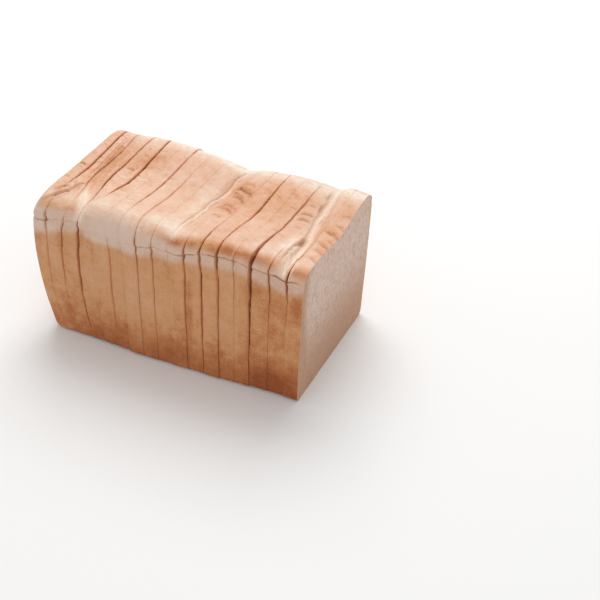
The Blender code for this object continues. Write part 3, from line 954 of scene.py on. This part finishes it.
def build_slice(index, stray, tone, shift):
    """One slice as a finished mesh object, ridden and standing for its solid."""
    piece = Piece()
    points, place, course, drawn_in, cut_edge_shade = heel_crust(stray) if index == 1 else slice_crust(index, stray)
    own_y = points[..., 1] - slice_shift(index, stray)
    relief, masks = crust_relief(place, course, own_y, points[..., 2], tone)
    # the edge mask is painted shade and warm bounced light beside gaping cuts
    masks["edge"] = held(cut_edge_shade)
    masks["rim"] = EDGE_RIM
    # crust rows at a hidden end pass the cut's painted shade and bounced light on to its crumb
    masks["inside"] = np.zeros(relief.shape)
    if index > 1:
        masks["inside"][0] = 1.0
    if index < SLICE_COUNT:
        masks["inside"][-1] = 1.0
    on_base = (course <= 0.0) | (course >= 5.0)
    relief = np.where(on_base, 0.0, relief - SKIN_DEPTH)
    points = points + surface_normals(points) * (relief * MM - drawn_in)[..., None]
    ring_number = piece.add_points(points, masks)
    closed = np.concatenate([ring_number, ring_number[:, :1]], axis=1)
    piece.add_faces(grid_faces(closed)[:, ::-1], CRUST)
    if index == 1:
        add_heel_end(piece, ring_number[0], points[0])
    else:
        add_hidden_end(piece, ring_number[0], points[0], index - 1, -1, course, masks["bake_and_shade"][0])
    if index == SLICE_COUNT:
        add_open_face(piece, ring_number[-1], points[-1])
    else:
        add_hidden_end(piece, ring_number[-1], points[-1], index, 1, course, masks["bake_and_shade"][-1])
    finish_mesh(piece, index, shift)


def finish_mesh(piece, index, shift):
    node = "heel_slice" if index == 1 else "slice_{:02d}".format(index)
    points = np.concatenate(piece.points) + shift
    points = np.clip(points, np.array(cad_box[0]), np.array(cad_box[1]))
    mesh = bpy.data.meshes.new("baked_" + node)
    sizes = np.concatenate([np.full(len(f), f.shape[1]) for f in piece.faces])
    corners = np.concatenate([f.reshape(-1) for f in piece.faces])
    mesh.vertices.add(len(points))
    mesh.vertices.foreach_set("co", points.astype(np.float32).ravel())
    mesh.loops.add(len(corners))
    mesh.loops.foreach_set("vertex_index", corners.astype(np.int32))
    mesh.polygons.add(len(sizes))
    mesh.polygons.foreach_set("loop_start", (np.cumsum(sizes) - sizes).astype(np.int32))
    mesh.polygons.foreach_set("material_index", np.concatenate(piece.kinds).astype(np.int32))
    mesh.polygons.foreach_set("use_smooth", np.ones(len(sizes), dtype=bool))
    mesh.update(calc_edges=True)
    mesh.validate()
    for name in MASKS:
        layer = mesh.attributes.new(name, "FLOAT", "POINT")
        layer.data.foreach_set("value", np.concatenate(piece.masks[name]).astype(np.float32))
    piece_object = add_object("baked_" + node, mesh)
    mesh.materials.append(CRUST_MATERIAL)
    mesh.materials.append(CRUMB_MATERIAL)
    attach(piece_object, "root")
    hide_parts(node)


# ---- materials

def srgb(red, green, blue):
    """A colour given as 0 to 255 values on screen, in linear light."""
    return tuple(((c / 255 + 0.055) / 1.055) ** 2.4 if c > 10 else c / 255 / 12.92
                 for c in (red, green, blue)) + (1.0,)


class Nodes:
    """Short ways to make and join the nodes of one material."""

    def __init__(self, name):
        self.material = bpy.data.materials.new(name)
        self.material.use_nodes = True
        self.tree = self.material.node_tree
        self.shader = self.tree.nodes["Principled BSDF"]
        self.coords = self.new("TexCoord").outputs["Object"]

    def new(self, kind):
        return self.tree.nodes.new("ShaderNode" + kind)

    def join(self, value, socket):
        if isinstance(value, bpy.types.NodeSocket):
            self.tree.links.new(value, socket)
        else:
            socket.default_value = value

    def shade(self, name, value):
        """Sets an input of the shader, to a number or to what another node gives."""
        self.join(value, self.shader.inputs[name])

    def mask(self, name):
        node = self.new("Attribute")
        node.attribute_name = name
        return node.outputs["Fac"]

    def noise(self, cell, detail, roughness=0.5, stretch=(1.0, 1.0, 1.0)):
        mapping = self.new("Mapping")
        mapping.inputs["Scale"].default_value = tuple(k / cell for k in stretch)
        self.join(self.coords, mapping.inputs["Vector"])
        node = self.new("TexNoise")
        node.inputs["Scale"].default_value = 1.0
        node.inputs["Detail"].default_value = detail
        node.inputs["Roughness"].default_value = roughness
        self.join(mapping.outputs["Vector"], node.inputs["Vector"])
        return node.outputs["Fac"]

    def math(self, kind, a, b):
        node = self.new("Math")
        node.operation = kind
        for value, socket in zip((a, b), node.inputs):
            self.join(value, socket)
        return node.outputs["Value"]

    def plus(self, a, b):
        return self.math("ADD", a, b)

    def times(self, a, b):
        return self.math("MULTIPLY", a, b)

    def centred(self, value, strength):
        """A noise from 0 to 1 as a push either way about nought."""
        return self.times(self.math("SUBTRACT", value, 0.5), strength)

    def ramp(self, value, stops):
        node = self.new("ValToRGB")
        elements = node.color_ramp.elements
        while len(elements) < len(stops):
            elements.new(0.5)
        for element, (place, colour) in zip(elements, stops):
            element.position = place
            element.color = colour
        self.join(value, node.inputs["Fac"])
        return node.outputs["Color"]

    def mix(self, share, first, second):
        node = self.new("Mix")
        node.data_type = "RGBA"
        self.join(share, node.inputs["Factor"])
        self.join(first, node.inputs["A"])
        self.join(second, node.inputs["B"])
        return node.outputs["Result"]

    def bump(self, height, strength, distance):
        node = self.new("Bump")
        node.inputs["Strength"].default_value = strength
        node.inputs["Distance"].default_value = distance
        self.join(height, node.inputs["Height"])
        self.shade("Normal", node.outputs["Normal"])


BAKE_STOPS = (
    (0.00, srgb(238, 227, 215)),
    (0.20, srgb(229, 207, 185)),
    (0.40, srgb(219, 180, 152)),
    (0.54, srgb(210, 158, 120)),
    (0.66, srgb(203, 148, 102)),
    (0.80, srgb(184, 116, 70)),
    (1.00, srgb(152, 80, 40)),
)
TORN_COLOUR = srgb(218, 194, 178)
PALE_COLOUR = srgb(238, 220, 202)
# colour of the painted shade in creases, folds, cracks and pockets
CREASE_SHADE_COLOUR = srgb(160, 98, 62)
# colour of the painted shade beside gaping cuts
GAP_EDGE_SHADE_COLOUR = srgb(184, 106, 58)
BLUSH_COLOUR = srgb(226, 178, 156)
# crumb from its pale cell walls to its darkest, where pores hold painted shade
CRUMB_LIGHT = srgb(222, 197, 182)
CRUMB_DARK = srgb(176, 145, 127)
# colour of the painted warm shade low on the crumb face
CRUMB_SHADE_COLOUR = srgb(180, 137, 108)
RIM_COLOUR = srgb(206, 158, 122)
# painted warm bounced light and painted shade on crumb seen deep in an open cut
GAP_LIGHT_COLOUR = srgb(230, 171, 128)
GAP_SHADE_COLOUR = srgb(158, 96, 58)


def baked_crust():
    """Crust whose colour follows how far it is baked, with paler torn dough, painted shade in its
    creases, on the folds' slopes and beside gaping cuts.
    """
    n = Nodes("baked_crust")
    freckle = n.centred(n.noise(0.0014, 3.0), 0.22)
    mottle = n.centred(n.noise(0.0070, 4.0, 0.6), 0.27)
    level = n.centred(n.noise(0.0014, 2.0, 0.5, (0.22, 0.22, 1.0)), 0.05)
    bake_and_shade = n.plus(n.plus(n.mask("bake_and_shade"), freckle), n.plus(mottle, level))
    colour = n.ramp(bake_and_shade, BAKE_STOPS)
    spots = n.times(n.math("SUBTRACT", n.noise(0.0060, 4.0, 0.6), 0.36), 2.4)
    spots = n.math("MINIMUM", n.math("MAXIMUM", spots, 0.0), 1.0)
    blush = n.times(n.mask("on_top"), spots)
    colour = n.mix(n.times(blush, 0.80), colour, BLUSH_COLOUR)
    ragged = n.centred(n.noise(0.0022, 3.0), 0.5)
    torn = n.times(n.mask("torn"), n.plus(0.86, ragged))
    colour = n.mix(torn, colour, TORN_COLOUR)
    pale = n.times(n.mask("pale"), n.plus(0.9, ragged))
    colour = n.mix(pale, colour, PALE_COLOUR)
    # painted shade in creases, folds, cracks and pockets
    colour = n.mix(n.times(n.mask("crease_shade"), 0.62), colour, CREASE_SHADE_COLOUR)
    # painted shade and warm bounced light beside gaping cuts
    colour = n.mix(n.times(n.mask("edge"), 0.62), colour, GAP_EDGE_SHADE_COLOUR)
    n.shade("Base Color", colour)
    n.shade("Roughness", n.plus(0.66, n.centred(n.noise(0.004, 2.0), 0.2)))
    n.shade("Specular IOR Level", 0.25)
    grain = n.plus(n.noise(0.00045, 2.0), n.times(n.noise(0.0014, 3.0), 1.4))
    n.bump(grain, 0.55, 0.00032)
    return n.material


def open_crumb():
    """Crumb: pale cell walls, pores darkened by painted shade, painted warm shade low down and at the
    near edge, a browned rim along the crust, and painted shade and bounced light inside the cuts.
    """
    n = Nodes("open_crumb")
    fleck = n.noise(0.0012, 3.0, 0.6, (1.0, 1.0, 0.30))
    patch = n.noise(0.009, 3.0)
    # the pore mask darkens the holes with painted shade; the flecks and patches are the crumb's own
    # uneven colour
    shade = n.plus(n.times(n.mask("pore"), 0.48), n.centred(fleck, 2.2))
    shade = n.plus(n.plus(shade, 0.17), n.centred(patch, 0.5))
    colour = n.ramp(shade, ((0.0, CRUMB_LIGHT), (1.0, CRUMB_DARK)))
    # painted warm shade low on the face and at its near edge
    colour = n.mix(n.mask("bake_and_shade"), colour, n.mix(0.75, colour, CRUMB_SHADE_COLOUR))
    colour = n.mix(n.mask("rim"), colour, RIM_COLOUR)
    # painted shade and warm bounced light on the crumb inside the cuts
    inside = n.ramp(n.mask("bake_and_shade"), ((0.50, GAP_LIGHT_COLOUR), (0.90, GAP_SHADE_COLOUR)))
    colour = n.mix(n.mask("inside"), colour, inside)
    n.shade("Base Color", colour)
    n.shade("Roughness", 0.9)
    n.shade("Specular IOR Level", 0.15)
    n.bump(n.plus(n.noise(0.0007, 2.0), n.noise(0.0018, 2.0)), 0.6, 0.0004)
    return n.material


# ---- stage, light and camera

AIM = Vector((0.08676, -0.00362, 0.04815))
AZIMUTH = math.radians(25.06)
ELEVATION = math.radians(35.76)
DISTANCE = 0.75176
LENS = 59.80
FLOOR_REACH = 6.0
FLOOR_WHITE = (0.84, 0.84, 0.84, 1.0)
WORLD_STRENGTH = 0.62


def pale_floor():
    mesh = bpy.data.meshes.new("floor")
    corners = [(FLOOR_REACH * x, FLOOR_REACH * y, 0.0) for x, y in ((-1, -1), (1, -1), (1, 1), (-1, 1))]
    mesh.from_pydata(corners, [], [(0, 1, 2, 3)])
    floor = add_object("floor", mesh)
    n = Nodes("floor_white")
    n.shade("Base Color", FLOOR_WHITE)
    n.shade("Roughness", 1.0)
    n.shade("Specular IOR Level", 0.0)
    mesh.materials.append(n.material)


def soft_light(name, place, aim, size, power, colour=(1.0, 1.0, 1.0)):
    light = bpy.data.lights.new(name, "AREA")
    light.shape = "SQUARE"
    light.size = size
    light.energy = power
    light.color = colour
    lamp = add_object(name, light)
    lamp.location = place
    lamp.rotation_euler = (Vector(aim) - Vector(place)).to_track_quat("-Z", "Y").to_euler()


def studio():
    world = bpy.data.worlds.new("studio")
    world.use_nodes = True
    world.node_tree.nodes["Background"].inputs["Color"].default_value = (1.0, 1.0, 1.0, 1.0)
    world.node_tree.nodes["Background"].inputs["Strength"].default_value = WORLD_STRENGTH
    bpy.context.scene.world = world
    soft_light("key", place=(-0.35, 0.95, 1.55), aim=(0.0, 0.0, 0.05), size=1.3, power=23.5,
               colour=(1.0, 0.99, 0.97))
    soft_light("fill", place=(0.9, -1.3, 1.0), aim=(0.0, 0.0, 0.06), size=1.4, power=5.0)
    bpy.context.scene.view_settings.view_transform = "Standard"


def camera():
    data = bpy.data.cameras.new("camera")
    data.lens = LENS
    data.sensor_width = 36.0
    data.clip_start = 0.01
    view = add_object("camera", data)
    flat = math.cos(ELEVATION)
    back = Vector((math.sin(AZIMUTH) * flat, -math.cos(AZIMUTH) * flat, math.sin(ELEVATION)))
    view.location = AIM + DISTANCE * back
    view.rotation_euler = (-back).to_track_quat("-Z", "Y").to_euler()
    bpy.context.scene.camera = view


def solid_box(index, stray):
    """The box of one slice's solid in the loaf's own frame."""
    y, z, _ = section(np.array([[index - 1.0], [float(index)]]), 0.5)
    y = y + slice_shift(index, stray)
    low = even_cut(index - 1, z[:1])
    if index == 1:
        low = low - HEEL_DOME
    high = even_cut(index, z[1:])
    return (low.min(), y.min(), z.min()), (high.max(), y.max(), z.max())


def frame_shift():
    """From the loaf's own frame to the solids': the middles of both boxes fall together."""
    stray = random.Random(STRAY_SEED)
    boxes = [solid_box(index, stray.uniform(-SLICE_STRAY, SLICE_STRAY))
             for index in range(1, SLICE_COUNT + 1)]
    low, high = np.min(boxes, axis=0)[0], np.max(boxes, axis=0)[1]
    solid_middle = (np.array(cad_box[0]) + np.array(cad_box[1])) / 2
    shift = solid_middle - (low + high) / 2
    shift[2] = 0.0
    return shift


CRUST_MATERIAL = baked_crust()
CRUMB_MATERIAL = open_crumb()


def build_loaf():
    stray = random.Random(STRAY_SEED)
    shift = frame_shift()
    tones = random.Random(TONE_SEED)
    for index in range(1, SLICE_COUNT + 1):
        offset = stray.uniform(-SLICE_STRAY, SLICE_STRAY)
        build_slice(index, offset, tones.uniform(-TONE_STRAY, TONE_STRAY), shift)


camera()
studio()
pale_floor()
build_loaf()
